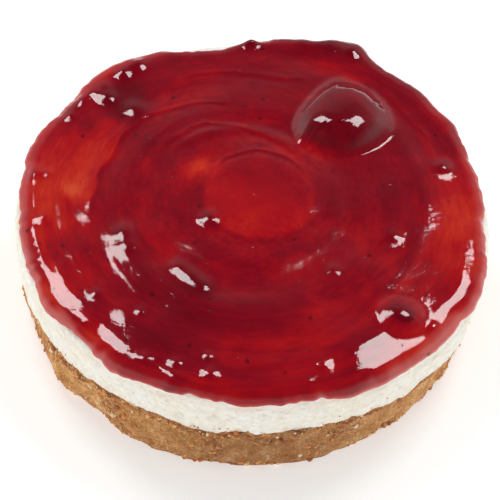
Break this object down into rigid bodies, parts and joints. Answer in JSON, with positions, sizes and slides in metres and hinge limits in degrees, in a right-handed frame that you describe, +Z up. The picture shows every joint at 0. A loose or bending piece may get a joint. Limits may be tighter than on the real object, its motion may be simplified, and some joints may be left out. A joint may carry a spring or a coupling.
{
  "type": "strawberry cheesecake",
  "caption": "Whole round cheesecake: pressed crumb base, pale cream layer and a glossy swirled strawberry topping that runs over the rim, with lumps of fruit.",
  "frame": {"origin": "middle of the flat underside of the crumb base", "axes": "+Z up out of the topping; -Y is the side nearest the viewer of the picture, +X the viewer's right"},
  "size_m": [0.1679, 0.1708, 0.0484],
  "materials": {
    "crumb": "rough pressed biscuit crumb",
    "cream": "soft satin cream cheese",
    "topping": "wet gloss, set fruit jelly",
    "fruit": "wet gloss, jelly-coated fruit"
  },
  "bodies": {
    "root": {"crumb_base": "crumb", "cream_layer": "cream", "strawberry_topping": "topping", "strawberry_piece_large": "fruit", "strawberry_piece_small": "fruit"}
  },
  "joints": []
}
